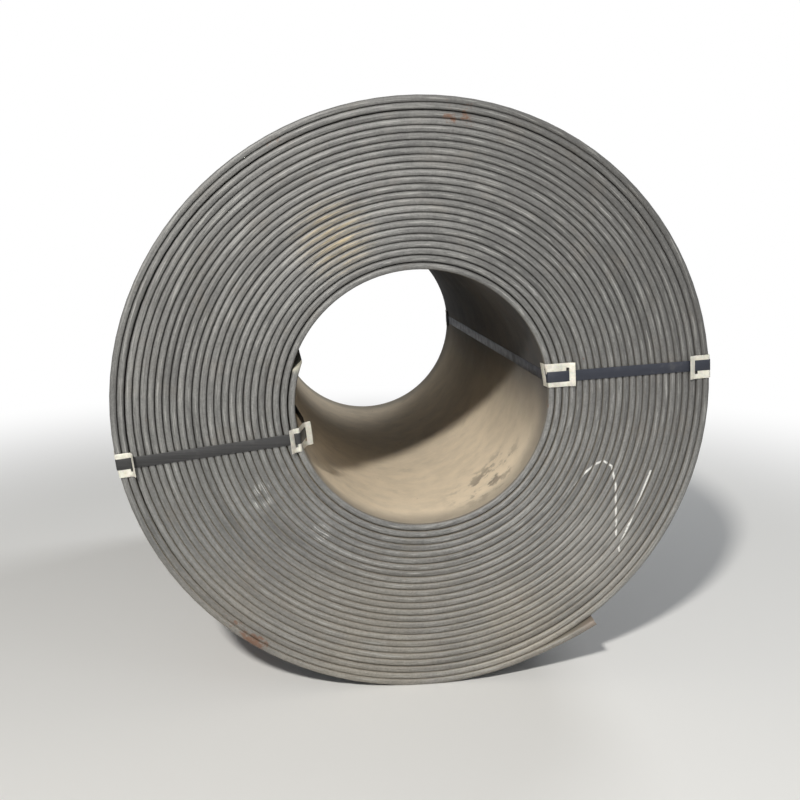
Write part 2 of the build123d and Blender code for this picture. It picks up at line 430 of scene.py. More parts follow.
def strip_material(settings):
    """Mill scale with pale wear on the edges that also paints highlights on the crests, painted shade and grime between
    the turns, dust in the bore, rust spots and chalk strokes.
    """
    material, g, shader, place = new_material("mill_scale")
    x, y, z = g.parts(place)
    flat = g.vector(x, 0.0, z)
    radius = g.arrow("LENGTH", flat)
    turn = g.node("ShaderNodeAttribute", {"attribute_name": "turn"}).outputs["Fac"]
    across = g.node("ShaderNodeAttribute", {"attribute_name": "across"}).outputs["Fac"]
    off_crest = g.math("ABSOLUTE", g.math("DIVIDE", across, settings.thickness / 2))
    depth = g.math("SUBTRACT", HALF_WIDTH, g.math("ABSOLUTE", y))
    wall = g.ramp(depth, 0.010, 0.018)

    along = g.vector(g.math("MULTIPLY", radius, 120.0), g.math("MULTIPLY", turn, 20.0), g.math("MULTIPLY", y, 9.0))
    streak = g.noise(along, 1.0, 6.0, 0.62)
    glint = g.noise(g.arrow("SCALE", along, scale=3.3), 1.0, 3.0, 0.5)
    blotch = g.noise(place, 3.1, 6.0, 0.6)
    patch = g.noise(place, 13.0, 6.0, 0.62)
    fine = g.noise(place, 150.0, 5.0, 0.7)
    tone = g.math("ADD", g.math("MULTIPLY", g.wave(turn, 3.1), 0.8), 1.0)

    low_right = g.ramp(g.math("SUBTRACT", g.math("MULTIPLY", x, 0.35), z), -0.25, 0.45)
    bottom = g.ramp(z, -0.35, -0.75)
    upper_right = g.ramp(g.math("ADD", g.math("MULTIPLY", x, 0.8), g.math("MULTIPLY", z, 0.6)), 0.25, 0.8)
    # Grooves packed with dust at the lower left, painted lighter as if lit along the turns
    caked_and_lit_grooves = g.spot(g.arrow("NORMALIZE", flat), *CAKED_AND_LIT_GROOVES)
    streaks = g.ramp(streak, 0.3, 0.72)
    colour = streaky(g, streaks, settings.scale_colour, 0.70, 1.22)
    colour = g.mix(g.math("MULTIPLY", bottom, g.ramp(blotch, 0.3, 0.62, 0.3, 0.8)), colour, TONES["warm_dust"])
    colour = g.mix(g.math("MULTIPLY", upper_right, 0.75), colour, TONES["upper_right"])
    colour = g.mix(g.ramp(patch, 0.52, 0.72, 0.0, 0.3), colour, TONES["brown_patch"])
    colour = g.mix(1.0, colour, g.vector(tone, tone, tone), "MULTIPLY")
    speckle = g.ramp(fine, 0.30, 0.70, 0.80, 1.20)
    colour = g.mix(1.0, colour, g.vector(speckle, speckle, speckle), "MULTIPLY")
    # Pale wear on the crests, which also paints highlights along the crests; less of it at the lower left
    worn_and_highlight = g.math("MULTIPLY", g.ramp(off_crest, 0.75, 0.2), g.ramp(glint, 0.50, 0.68))
    worn_and_highlight = g.math("MULTIPLY", worn_and_highlight, g.math("SUBTRACT", 1.0, g.math("MULTIPLY", caked_and_lit_grooves, 0.85)))
    colour = g.mix(g.math("MULTIPLY", worn_and_highlight, g.ramp(streak, 0.35, 0.65, 0.25, 0.75)), colour, TONES["worn_edge_and_highlight"])
    # Painted shade in the grooves between the turns, paler with dust at the lower right, and painted lighter at the
    # lower left
    groove_shade_and_dirt = g.mix(low_right, TONES["groove_shade_and_dirt"], TONES["dusty_dirt"])
    groove_shade_and_dirt = g.mix(upper_right, groove_shade_and_dirt, TONES["upper_groove_shade_and_dirt"])
    groove_shade_and_dirt = g.mix(caked_and_lit_grooves, groove_shade_and_dirt, TONES["caked_dirt_and_groove_light"])
    colour = g.mix(g.ramp(off_crest, 0.68, 1.0, 0.0, 0.8), colour, groove_shade_and_dirt)
    # Yellowish stain on the crests, which also paints yellowish glints of the highlights
    yellow_glint_and_stain = g.math("MULTIPLY", g.spot(flat, *YELLOW_STAIN_AND_GLINT), g.ramp(off_crest, 0.8, 0.3))
    colour = g.mix(g.math("MULTIPLY", yellow_glint_and_stain, g.ramp(glint, 0.45, 0.62, 0.15, 0.8)), colour, TONES["yellow_stain_and_glint"])
    scuff = g.math("MULTIPLY", g.spot(flat, *SCUFFED_TOP), 0.2)
    for spot in SCRATCHED:
        scuff = g.math("MAXIMUM", scuff, g.spot(flat, *spot))
    colour = g.mix(g.math("MULTIPLY", scuff, g.ramp(patch, 0.45, 0.66, 0.0, 0.7)), colour, TONES["scuff"])
    scratch = g.math("MULTIPLY", g.ramp(scuff, 0.3, 0.6), g.ramp(glint, 0.56, 0.62))
    colour = g.mix(g.math("MULTIPLY", scratch, 0.8), colour, TONES["scratch"])
    haze = g.math("MULTIPLY", g.spot(flat, *HAZY), g.ramp(patch, 0.3, 0.65, 0.15, 0.6))
    colour = g.mix(haze, colour, TONES["haze"])

    scale = streaky(g, streaks, settings.wall_colour, 0.7, 1.3)
    bloom = g.math("MULTIPLY", g.ramp(blotch, 0.42, 0.68), g.ramp(streak, 0.3, 0.6))
    scale = g.mix(g.math("MULTIPLY", bloom, 0.5), scale, TONES["bloom"])
    inside = g.ramp(radius, 0.47, 0.43)
    # Darker mill scale inside the bore, which also paints the shade in the bore
    scale = g.mix(g.math("MULTIPLY", inside, 0.65), scale, TONES["bore_scale_and_shade"])
    settled = g.ramp(g.math("DIVIDE", z, radius), 0.25, -0.75)
    settled = g.math("MULTIPLY", settled, g.ramp(depth, 0.02, 0.14, 0.5, 1.0))
    settled = g.math("MULTIPLY", g.math("MULTIPLY", inside, settled), g.ramp(blotch, 0.22, 0.46, 0.8, 1.0))
    dust = streaky(g, g.ramp(patch, 0.32, 0.7), settings.dust_colour, 1.0, 0.88)
    dust = g.mix(g.ramp(streak, 0.55, 0.8, 0.0, 0.35), dust, TONES["dust_streak"])
    rubbed = g.math("MULTIPLY", g.spot(place, *RUBBED), g.ramp(patch, 0.50, 0.60))
    dust = g.mix(g.math("MULTIPLY", rubbed, 0.75), dust, TONES["rubbed"])
    scale = g.mix(settled, scale, dust)
    colour = g.mix(wall, colour, scale)

    spots = g.noise(place, 24.0, 8.0, 0.7)
    rusty = g.math("MULTIPLY", g.spot(flat, *RUSTY_LOW), g.ramp(radius, 0.832, 0.856, 0.0, 1.8))
    rusty = g.math("MAXIMUM", g.spot(flat, *RUSTY_TOP), rusty)
    rusty = g.math("ADD", g.math("MULTIPLY", rusty, 0.16), g.math("MULTIPLY", g.math("SUBTRACT", blotch, 0.5), 0.25))
    rust = g.ramp(g.math("ADD", spots, rusty), 0.66, 0.76)
    colour = g.mix(g.math("MULTIPLY", rust, 0.7), colour, settings.rust_colour)
    head = g.ramp(turn, 0.012, 0.0, 0.0, 0.8)
    colour = g.mix(head, colour, TONES["cut_head"])
    tail = g.ramp(turn, settings.turns - 0.012, settings.turns - 0.001)
    burnt = g.mix(patch, TONES["dark_tail"], TONES["pale_tail"])
    colour = g.mix(g.math("MULTIPLY", tail, 0.75), colour, burnt)

    chalk = g.math("MAXIMUM", *[g.strokes(flat, points, CHALK_WIDTH) for points in CHALK_STROKES])
    on_end = g.math("LESS_THAN", y, 0.0)
    dry = g.math("MULTIPLY", g.ramp(off_crest, 0.85, 0.45), g.ramp(fine, 0.30, 0.48))
    colour = g.mix(g.math("MULTIPLY", g.math("MULTIPLY", chalk, dry), on_end), colour, settings.chalk_colour)

    roughness = g.ramp(fine, 0.3, 0.75, 0.46, 0.7)
    roughness = g.math("MAXIMUM", roughness, g.math("MULTIPLY", g.math("MULTIPLY", wall, inside), 0.95))
    height = g.math("ADD", g.math("MULTIPLY", fine, 0.6), g.math("MULTIPLY", streak, 0.5))
    finish_surface(g, shader, colour, roughness, height, 0.0012, 0.2)
    return material


def strap_material(settings):
    """Blued strapping with a long grain and a faint wax bloom, bluer on the right."""
    material, g, shader, place = new_material("blued_strap")
    x, y, z = g.parts(place)
    long_grain = g.vector(g.math("MULTIPLY", x, 6.0), g.math("MULTIPLY", y, 6.0), g.math("MULTIPLY", z, 260.0))
    grain = g.noise(long_grain, 1.0, 4.0, 0.6)
    bloom = g.noise(place, 26.0, 6.0, 0.65)
    colour = streaky(g, g.ramp(grain, 0.3, 0.7), settings.colour, 0.8, 1.35)
    colour = g.mix(g.ramp(x, -0.3, 0.3, 0.0, 0.8), colour, (0.031, 0.036, 0.053))
    colour = g.mix(g.ramp(bloom, 0.56, 0.8, 0.0, 0.35), colour, (0.14, 0.138, 0.135))
    roughness = g.ramp(bloom, 0.3, 0.8, 0.36, 0.6)
    finish_surface(g, shader, colour, roughness, grain, 0.0002, 0.35)
    return material


def zinc_material(settings):
    """Dull zinc-coated plate with spangle and scuffs."""
    material, g, shader, place = new_material("dull_zinc")
    spangle = g.node("ShaderNodeTexVoronoi", Vector=place, Scale=170.0).outputs["Color"]
    patches = g.noise(place, 45.0, 6.0, 0.65)
    scuffs = g.noise(place, 320.0, 3.0, 0.5)
    colour = streaky(g, g.ramp(patches, 0.3, 0.75), settings.colour, 0.78, 1.12)
    colour = g.mix(0.06, colour, spangle, "OVERLAY")
    colour = g.mix(g.ramp(scuffs, 0.62, 0.8, 0.0, 0.5), colour, (0.36, 0.34, 0.29))
    roughness = g.ramp(patches, 0.3, 0.8, 0.42, 0.62)
    finish_surface(g, shader, colour, roughness, g.math("ADD", patches, scuffs), 0.0006, 0.25)
    return material


def seal_material():
    """Dull bare steel with scratches and a rusty bloom."""
    material, g, shader, place = new_material("dull_seal")
    patches = g.noise(place, 60.0, 6.0, 0.65)
    scratch = g.noise(place, 420.0, 3.0, 0.6)
    colour = g.mix(g.ramp(patches, 0.3, 0.75), (0.17, 0.17, 0.18), (0.30, 0.295, 0.29))
    colour = g.mix(g.ramp(scratch, 0.58, 0.78, 0.0, 0.5), colour, (0.20, 0.11, 0.06))
    roughness = g.ramp(patches, 0.3, 0.8, 0.38, 0.6)
    finish_surface(g, shader, colour, roughness, g.math("ADD", patches, scratch), 0.0004, 0.5)
    return material


def plain_mesh(piece):
    """Evaluated shape of an object as a plain mesh, with its modifiers removed."""
    shape = piece.evaluated_get(bpy.context.evaluated_depsgraph_get())
    mesh = bpy.data.meshes.new_from_object(shape)
    piece.modifiers.clear()
    piece.data = mesh
    return mesh


def set_inputs(modifier, values):
    """Sets a node modifier's inputs by the identifiers of their sockets."""
    for item in modifier.node_group.interface.items_tree:
        if item.item_type == "SOCKET" and item.in_out == "INPUT" and item.name in values:
            modifier[item.identifier] = values[item.name]


def new_tree(name, inputs):
    """Geometry node tree with named inputs and one geometry output."""
    tree = bpy.data.node_groups.new(name, "GeometryNodeTree")
    tree.interface.new_socket(name="Geometry", in_out="OUTPUT", socket_type="NodeSocketGeometry")
    for label, kind in inputs:
        tree.interface.new_socket(name=label, in_out="INPUT", socket_type=kind)
    graph = Graph(tree)
    group_in = tree.nodes.new("NodeGroupInput")
    group_out = tree.nodes.new("NodeGroupOutput")
    return tree, graph, group_in, group_out


def keep_value(graph, geometry, name, value):
    """Stores a number on each point of a geometry."""
    store = graph.node(
        "GeometryNodeStoreNamedAttribute", {"data_type": "FLOAT", "domain": "POINT"},
        Geometry=geometry, Name=name, Value=value,
    )
    return store.outputs["Geometry"]


def kept_value(graph, name):
    """Number stored on each point."""
    return graph.node("GeometryNodeInputNamedAttribute", {"data_type": "FLOAT"}, Name=name).outputs["Attribute"]


def dress(graph, geometry, material, group_out):
    """Ends a tree: makes its shape real, sets its material and hands it out."""
    real = graph.node("GeometryNodeRealizeInstances", Geometry=geometry)
    dressed = graph.node("GeometryNodeSetMaterial", Geometry=real.outputs[0], Material=material)
    graph.feed(group_out.inputs["Geometry"], dressed.outputs[0])


def cut_end(graph, shape, chosen, angle, reach):
    """Moves the chosen points of an end of the strip along it by their own reach."""
    tangent = graph.vector(graph.math("MULTIPLY", graph.math("SINE", angle), -1.0), graph.math("COSINE", angle), 0.0)
    offset = graph.arrow("SCALE", tangent, scale=reach)
    return graph.node("GeometryNodeSetPosition", Geometry=shape, Selection=chosen, Offset=offset).outputs[0]


def winding_tree():
    """Node tree that winds a strip with rounded edges along a spiral."""
    number = "NodeSocketFloat"
    tree, g, given, out = new_tree(
        "Wound strip",
        [
            ("Inner radius", number), ("Thickness", number), ("Gap", number), ("Turns", number),
            ("Start angle", number), ("Half width", number), ("Crown", number), ("Wander", number),
            ("Tail lift", number), ("Tail shift", number), ("Steps", "NodeSocketInt"),
            ("Material", "NodeSocketMaterial"),
        ],
    )
    size = given.outputs
    index = tree.nodes.new("GeometryNodeInputIndex").outputs[0]

    count = g.math("ROUND", g.math("MULTIPLY", size["Turns"], size["Steps"]))
    line = tree.nodes.new("GeometryNodeCurvePrimitiveLine").outputs["Curve"]
    path = g.node("GeometryNodeResampleCurve", {"mode": "COUNT"}, Curve=line, Count=g.math("ADD", count, 1.0))
    turn = g.math("MULTIPLY", g.math("DIVIDE", index, count), size["Turns"])
    angle = g.math("ADD", size["Start angle"], g.math("MULTIPLY", turn, math.tau))
    pitch = g.math("ADD", size["Thickness"], size["Gap"])
    radius = g.math("ADD", size["Inner radius"], g.math("MULTIPLY", size["Thickness"], 0.5))
    radius = g.math("ADD", radius, g.math("MULTIPLY", turn, pitch))
    for start, end, step in LOOSE_TURNS:
        radius = g.math("ADD", radius, g.ramp(turn, start, end, 0.0, step))
    radius = g.math("ADD", radius, g.math("MULTIPLY", g.wave(turn, 2.7), TURN_UNEVEN))
    left = g.math("SUBTRACT", size["Turns"], turn)
    spring = g.math("MAXIMUM", g.math("SUBTRACT", 1.0, g.math("DIVIDE", left, SPRING_SHARE)), 0.0)
    spring = g.math("MULTIPLY", spring, spring)
    radius = g.math("ADD", radius, g.math("MULTIPLY", spring, size["Tail lift"]))
    radius = g.math("SUBTRACT", radius, g.ramp(turn, HEAD_SHARE, 0.0, 0.0, HEAD_IN))
    for lobes, height, way in LOBES:
        lobe = g.math("COSINE", g.math("MULTIPLY", g.math("SUBTRACT", angle, way), lobes))
        lobe = g.math("MULTIPLY", lobe, g.math("DIVIDE", turn, size["Turns"]))
        radius = g.math("ADD", radius, g.math("MULTIPLY", lobe, height))
    spot = g.vector(
        g.math("MULTIPLY", radius, g.math("COSINE", angle)),
        g.math("MULTIPLY", radius, g.math("SINE", angle)),
        0.0,
    )
    path = g.node("GeometryNodeSetPosition", Geometry=path.outputs[0], Position=spot)
    path = keep_value(g, path.outputs[0], "turn", turn)
    path = keep_value(g, path, "spring", spring)
    path = g.node("GeometryNodeSetCurveNormal", {"mode": "Z_UP"}, Curve=path).outputs[0]

    ring = 32
    section = g.node("GeometryNodeCurvePrimitiveCircle", Resolution=ring)
    way = g.math("DIVIDE", index, ring / 4)

    def stage(start):
        step = g.math("SUBTRACT", way, start)
        return g.math("MINIMUM", g.math("MAXIMUM", step, 0.0), 1.0)

    bend = g.math("MULTIPLY", g.math("ADD", stage(0.0), stage(2.0)), math.pi)
    side = g.math("MULTIPLY", g.math("SUBTRACT", stage(3.0), stage(1.0)), 2.0)
    across = g.math("MULTIPLY", g.math("COSINE", bend), g.math("MULTIPLY", size["Thickness"], 0.5))
    shoulder = g.math("SUBTRACT", size["Half width"], size["Crown"])
    axial = g.math("MULTIPLY", g.math("ADD", side, 1.0), shoulder)
    bulge = g.math("SINE", bend)
    bulge = g.math("MULTIPLY", g.math("SIGN", bulge), g.math("POWER", g.math("ABSOLUTE", bulge), 0.8))
    axial = g.math("ADD", axial, g.math("MULTIPLY", bulge, size["Crown"]))
    section = g.node(
        "GeometryNodeSetPosition", Geometry=section.outputs["Curve"], Position=g.vector(across, axial, 0.0)
    )
    section = keep_value(g, section.outputs[0], "across", across)
    section = keep_value(g, section, "axial", axial)

    shape = g.node("GeometryNodeCurveToMesh", Curve=path, Profile_Curve=section, Fill_Caps=True).outputs[0]

    turn_here = kept_value(g, "turn")
    end_side = g.math("SIGN", g.parts(tree.nodes.new("GeometryNodeInputPosition").outputs[0])[2])
    step_in = g.math("ADD", g.wave(g.math("ADD", turn_here, g.math("MULTIPLY", end_side, 40.0)), 0.9), 0.5)
    step_in = g.math("MULTIPLY", g.math("MULTIPLY", step_in, size["Wander"]), g.math("MULTIPLY", end_side, -1.0))
    step_in = g.math("ADD", step_in, g.math("MULTIPLY", kept_value(g, "spring"), size["Tail shift"]))
    shape = g.node("GeometryNodeSetPosition", Geometry=shape, Offset=g.vector(0.0, 0.0, step_in)).outputs[0]
    first = g.math("LESS_THAN", turn_here, CUT_SHARE)
    slant = g.math("MULTIPLY", kept_value(g, "across"), HEAD_SLANT)
    shape = cut_end(g, shape, first, size["Start angle"], slant)
    last = g.math("GREATER_THAN", turn_here, g.math("SUBTRACT", size["Turns"], CUT_SHARE))
    end_angle = g.math("ADD", size["Start angle"], g.math("MULTIPLY", size["Turns"], math.tau))
    ragged = g.math("MULTIPLY", g.wave(kept_value(g, "axial"), 5.3), TAIL_RAGGED)
    shape = cut_end(g, shape, last, end_angle, ragged)

    turned = g.node("GeometryNodeTransform", Geometry=shape, Rotation=(math.pi / 2, 0.0, 0.0))
    dress(g, turned.outputs[0], size["Material"], out)
    return tree


def smooth_step(value, low, high):
    """Smooth rise from 0 at low to 1 at high."""
    share = min(max((value - low) / (high - low), 0.0), 1.0)
    return share * share * (3 - 2 * share)


def wound_radius(settings, angle, outside):
    """Radius of the wound strip's bore or outside at an angle from +X towards +Z."""
    turn = ((angle - settings.inner_end_angle) / math.tau) % 1.0
    if outside:
        turn += math.floor(settings.turns - turn)
    radius = settings.inner_radius + turn * (settings.thickness + settings.gap)
    for start, end, step in LOOSE_TURNS:
        radius += step * smooth_step(turn, start, end)
    for lobes, height, way in LOBES:
        radius += height * math.cos(lobes * (angle - way)) * turn / settings.turns
    return radius + (settings.thickness if outside else 0.0)


def seats(scene, side, along=-1.0):
    """Angle and offset of a strap, with the radii of the bore and the outside where it crosses them.

    along runs from -1 at the front end to 1 at the rear end.
    """
    strip = scene.steelcoil_strip
    angle, front, rear = STRAP_LAY[side]
    offset = front + (rear - front) * (along + 1) / 2
    found = []
    for outside in (False, True):
        lean = math.asin(offset / wound_radius(strip, angle, outside))
        found.append(wound_radius(strip, angle + lean, outside))
    return angle, offset, found[0], found[1]


def wall_rise(radius, offset, beside):
    """How much further out or in a round wall lies beside the middle of a strap."""
    return math.sqrt(radius ** 2 - (offset + beside) ** 2) - math.sqrt(radius ** 2 - offset ** 2)


def strap_line(scene, side):
    """Corner points of a strap in its own plane, from its lower end round the coil to its upper end."""
    strap = scene.steelcoil_strap
    plate = scene.steelcoil_protector
    low = SEAT + strap.gauge / 2
    high = SEAT + plate.gauge + LAYER + strap.gauge / 2
    ramp = plate.slot_length
    spare = plate.bar + ramp
    bend = plate.bend_radius + plate.gauge
    end = HALF_WIDTH

    def walls(along):
        """Bore and outside as the strap's own plane cuts them."""
        _, offset, bore, outside = seats(scene, side, along)
        return math.sqrt(bore ** 2 - offset ** 2), math.sqrt(outside ** 2 - offset ** 2)

    def corners(which, along):
        """Points of one end from the outer wall to the bore, each with its bend radius."""
        inner, outer = walls(along)
        face_in = FOLDS[side + which + "_inner"][0] - spare
        wall_in = plate.length - face_in - 2 * spare
        face_out = FOLDS[side + which + "_outer"][0] - spare
        wall_out = plate.length - face_out - 2 * spare
        points = [
            (outer + low, -end + wall_out + ramp, EASY_BEND),
            (outer + high, -end + wall_out, EASY_BEND),
            (outer + high, -end - high, bend),
            (outer - face_out, -end - high, EASY_BEND),
            (outer - face_out - ramp, -end - low, EASY_BEND),
            (inner + face_in + ramp, -end - low, EASY_BEND),
            (inner + face_in, -end - high, EASY_BEND),
            (inner - high, -end - high, bend),
        ]
        fold = FOLDS[side + which + "_inner"][1]
        if fold == RIGHT_ANGLE:
            points.append((inner - high, -end + wall_in, EASY_BEND))
            points.append((inner - low, -end + wall_in + ramp, EASY_BEND))
            return points
        # Under a plate that is folded less, the strap runs free before it meets the wall
        fold = math.radians(fold)
        for leg in (wall_in, wall_in + spare):
            points.append((inner - high - leg * math.cos(fold), -end - high + leg * math.sin(fold), FREE_BEND))
        off, deep, ease = FREE_RUN
        points.append((inner - off, -end + deep, ease))
        deep, ease = FREE_END
        points.append((inner - low, -end + deep, ease))
        return points

    lap = strap.overlap / 2
    front = corners("_front", -1.0)
    rear = [(u, -v, bend) for u, v, bend in reversed(corners("_rear", 1.0))]
    outer = walls(0.0)[1]
    raised = outer + low + strap.gauge + LAYER
    tail = [(outer + low, lap + 0.02, EASY_BEND), (raised, lap + 0.005, EASY_BEND), (raised, -lap, 0.0)]
    return [(outer + low, lap, 0.0)] + front + rear + tail


def strap_tree():
    """Node tree that sweeps a flat strap along the piece's own points and lays it on the round walls."""
    number = "NodeSocketFloat"
    tree, g, given, out = new_tree(
        "Flat strap",
        [
            ("Path", "NodeSocketGeometry"), ("Width", number), ("Gauge", number), ("Angle", number),
            ("Front offset", number), ("Rear offset", number), ("Bore radius", number), ("Outside radius", number),
            ("Half width", number), ("Follow bore", number), ("Material", "NodeSocketMaterial"),
        ],
    )
    size = given.outputs
    path = g.node("GeometryNodeMeshToCurve", Mesh=size["Path"]).outputs[0]
    fillet = g.node(
        "GeometryNodeFilletCurve", {"mode": "POLY"},
        Curve=path, Radius=kept_value(g, "bend"), Count=6, Limit_Radius=True,
    )
    path = g.node("GeometryNodeSetCurveNormal", {"mode": "Z_UP"}, Curve=fillet.outputs[0]).outputs[0]
    section = g.node(
        "GeometryNodeCurvePrimitiveQuadrilateral", {"mode": "RECTANGLE"}, Width=size["Gauge"], Height=size["Width"]
    )
    section = g.node(
        "GeometryNodeFilletCurve", {"mode": "POLY"},
        Curve=section.outputs[0], Radius=g.math("MULTIPLY", size["Gauge"], 0.4), Count=2,
    )
    section = g.node("GeometryNodeSubdivideCurve", Curve=section.outputs[0], Cuts=1)
    swept = g.node("GeometryNodeCurveToMesh", Curve=path, Profile_Curve=section.outputs[0], Fill_Caps=True)

    x, y, z = g.parts(tree.nodes.new("GeometryNodeInputPosition").outputs[0])
    share = g.math("DIVIDE", g.math("ADD", y, size["Half width"]), g.math("MULTIPLY", size["Half width"], 2.0))
    offset = g.math(
        "ADD", size["Front offset"],
        g.math("MULTIPLY", g.math("SUBTRACT", size["Rear offset"], size["Front offset"]), share),
    )
    halfway = g.math("MULTIPLY", g.math("ADD", size["Bore radius"], size["Outside radius"]), 0.5)
    outer_run = g.math("GREATER_THAN", x, halfway)
    radius = g.math(
        "ADD", size["Bore radius"],
        g.math("MULTIPLY", outer_run, g.math("SUBTRACT", size["Outside radius"], size["Bore radius"])),
    )
    square = g.math("MULTIPLY", radius, radius)
    beside = g.math("ADD", z, offset)
    here = g.math("SQRT", g.math("SUBTRACT", square, g.math("MULTIPLY", beside, beside)))
    middle = g.math("SQRT", g.math("SUBTRACT", square, g.math("MULTIPLY", offset, offset)))
    depth = g.math("SUBTRACT", size["Half width"], g.math("ABSOLUTE", y))
    on_wall = g.ramp(depth, 0.0, 0.03)
    follow = g.math("MAXIMUM", outer_run, size["Follow bore"])
    rise = g.math("MULTIPLY", g.math("SUBTRACT", here, middle), g.math("MULTIPLY", on_wall, follow))
    laid = g.node("GeometryNodeSetPosition", Geometry=swept.outputs[0], Offset=g.vector(rise, 0.0, offset))
    turned = g.node(
        "GeometryNodeTransform", Geometry=laid.outputs[0],
        Rotation=g.vector(0.0, g.math("MULTIPLY", size["Angle"], -1.0), 0.0),
    )
    dress(g, turned.outputs[0], size["Material"], out)
    return tree


def folded_line(plate, face_leg, fold, face_bend, wall_bend):
    """Stations along a protector from its bar on the end to its bar on the wall.

    Each is its place out from the edge and in from the end, its share of the wall's roundness
    and the part of the plate that it ends.
    """
    height = SEAT + plate.gauge / 2
    wall_leg = plate.length - face_leg
    spare = plate.bar + plate.slot_length
    tangent = plate.bend_radius * math.tan(fold / 2)
    corner = Vector((height, -height))
    start = corner + Vector((-tangent, 0.0))
    finish = corner + Vector((math.cos(fold), math.sin(fold))) * tangent

    def leg(place, heading, bend, length, share):
        """Stations of one leg: its saddle, its slot and its bar, which bend up in turn."""
        stations = []
        for part, way, reach, steps in (
            ("saddle", heading, length - spare - tangent, 3),
            ("slot", heading + bend / 2, plate.slot_length, 3),
            ("bar", heading + bend, plate.bar, 4),
        ):
            ahead = Vector((math.cos(way), math.sin(way)))
            stations += [(place + ahead * (reach * step / steps), share, part) for step in range(1, steps + 1)]
            place = stations[-1][0]
        return stations

    face = leg(start, math.pi, face_bend, face_leg, 0.0)
    wall = leg(finish, fold, -wall_bend, wall_leg, 1.0)
    arc = []
    steps = 8
    centre = start + Vector((0.0, plate.bend_radius))
    for step in range(steps + 1):
        turn = fold * step / steps
        spot = centre + Vector((math.sin(turn), -math.cos(turn))) * plate.bend_radius
        arc.append((spot, step / steps, "saddle"))
    return face[::-1] + arc + wall


def lay_point(angle, u, v, w):
    """Point of a strap's own plane, at w beside it, placed on the coil."""
    return (u * math.cos(angle) - w * math.sin(angle), v, u * math.sin(angle) + w * math.cos(angle))


def sheet_mesh(name, rows, is_open):
    """Sheet of quads between rows of points, without those that are open."""
    mesh = bpy.data.meshes.new(name)
    build = bmesh.new()
    rows = [[build.verts.new(point) for point in row] for row in rows]
    for i in range(len(rows) - 1):
        for j in range(len(rows[0]) - 1):
            if not is_open(i, j):
                build.faces.new((rows[i][j], rows[i][j + 1], rows[i + 1][j + 1], rows[i + 1][j]))
    loose = [v for v in build.verts if not v.link_faces]
    bmesh.ops.delete(build, geom=loose, context="VERTS")
    bmesh.ops.recalc_face_normals(build, faces=build.faces)
    build.to_mesh(mesh)
    build.free()
    return mesh


def protector_mesh(scene, name):
    """Plate folded over an edge of the coil, with a slot and a raised bar at each end."""
    plate = scene.steelcoil_protector
    side, end, rim = name.split("_")
    outer, rear = rim == "outer", end == "rear"
    angle, offset, bore, outside = seats(scene, side, 1.0 if rear else -1.0)
    radius = outside if outer else bore
    out = 1 if outer else -1
    edge = math.sqrt(radius ** 2 - offset ** 2)
    face_leg, fold, face_bend, wall_bend, beside = FOLDS[name]
    bends = [math.radians(turn) for turn in (fold, face_bend, wall_bend)]
    stations = folded_line(plate, face_leg, *bends)
    half, slot = plate.width / 2, plate.slot_width / 2
    columns = [-half, -(half + slot) / 2, -slot, -slot / 2, 0.0, slot / 2, slot, (half + slot) / 2, half]

    rows = []
    for place, share, part in stations:
        row = []
        for column in columns:
            w = column + beside
            rise = wall_rise(radius, offset, w) * share if fold == RIGHT_ANGLE else 0.0
            bow = BAR_BOW * (1 - (column / half) ** 2) if part == "bar" else 0.0
            u = edge + out * place.x + rise + out * bow * share
            v = -HALF_WIDTH + place.y - bow * (1 - share)
            row.append(lay_point(angle, u, -v if rear else v, offset + w))
        rows.append(row)

    def in_slot(i, j):
        parts = stations[i][2], stations[i + 1][2]
        slotted = "slot" in parts and "bar" not in parts
        return slotted and abs(columns[j] + columns[j + 1]) / 2 < slot

    return sheet_mesh("protector_" + name, rows, in_slot)


def seal_mesh(scene, side):
    """Clip that wraps the two ends of a strap, nicked in at its crimps."""
    strap = scene.steelcoil_strap
    angle, offset, _, outside = seats(scene, side, 0.0)
    outer = math.sqrt(outside ** 2 - offset ** 2)
    over, beyond = 0.0005, 0.0011
    top = SEAT + 2 * strap.gauge + 3 * LAYER + over
    half = strap.width / 2 + beyond
    across = [(-0.90, 0.12), (-1.0, 0.3), (-1.0, 0.72), (-0.97, 0.93), (-0.90, 1.0), (-0.5, 1.0), (0.0, 1.0)]
    across += [(-w, h) for w, h in reversed(across[:-1])]
    crimps, crimp_reach = (-0.5, 0.5), 0.16
    pinch, edge_rise, dip = 0.10, 0.0009, 0.0003
    rows = []
    steps = 32
    for step in range(steps + 1):
        along = 2 * step / steps - 1
        nick = max(math.exp(-(((along - place) / crimp_reach) ** 2)) for place in crimps)
        row = []
        for w, h in across:
            beside = w * half * (1 - pinch * nick * abs(w) ** 3)
            lift = top * h + edge_rise * nick * abs(w) ** 2 * h - dip * (1 - abs(w)) * nick
            u = outer + lift + wall_rise(outside, offset, beside)
            row.append(lay_point(angle, u, along * strap.seal_length / 2, offset + beside))
        rows.append(row)
    return sheet_mesh("seal_" + side, rows, lambda i, j: False)


def hand_over(piece, sharp, node):
    """Smooths a finished piece up to a sharp angle and hands it over in place of a CAD node."""
    if not piece.data.polygons:
        raise RuntimeError(piece.name + " has no faces")
    piece.data.shade_smooth()
    piece.data.set_sharp_from_angle(angle=math.radians(sharp))
    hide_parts(node)
    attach(piece, BODY)


def sheet_piece(scene, name, mesh, gauge, material, node):
    """Gives a sheet its thickness, softens its cut edges and hands it over in place of a CAD node."""
    piece = bpy.data.objects.new(name, mesh)
    scene.collection.objects.link(piece)
    thick = piece.modifiers.new("Thickness", "SOLIDIFY")
    thick.thickness = gauge
    thick.offset = 0.0
    soft = piece.modifiers.new("Cut edges", "BEVEL")
    soft.width = gauge * 0.3
    soft.segments = 2
    soft.limit_method = "ANGLE"
    soft.angle_limit = math.radians(50)
    mesh = plain_mesh(piece)
    mesh.materials.clear()
    mesh.materials.append(material)
    hand_over(piece, 40, node)


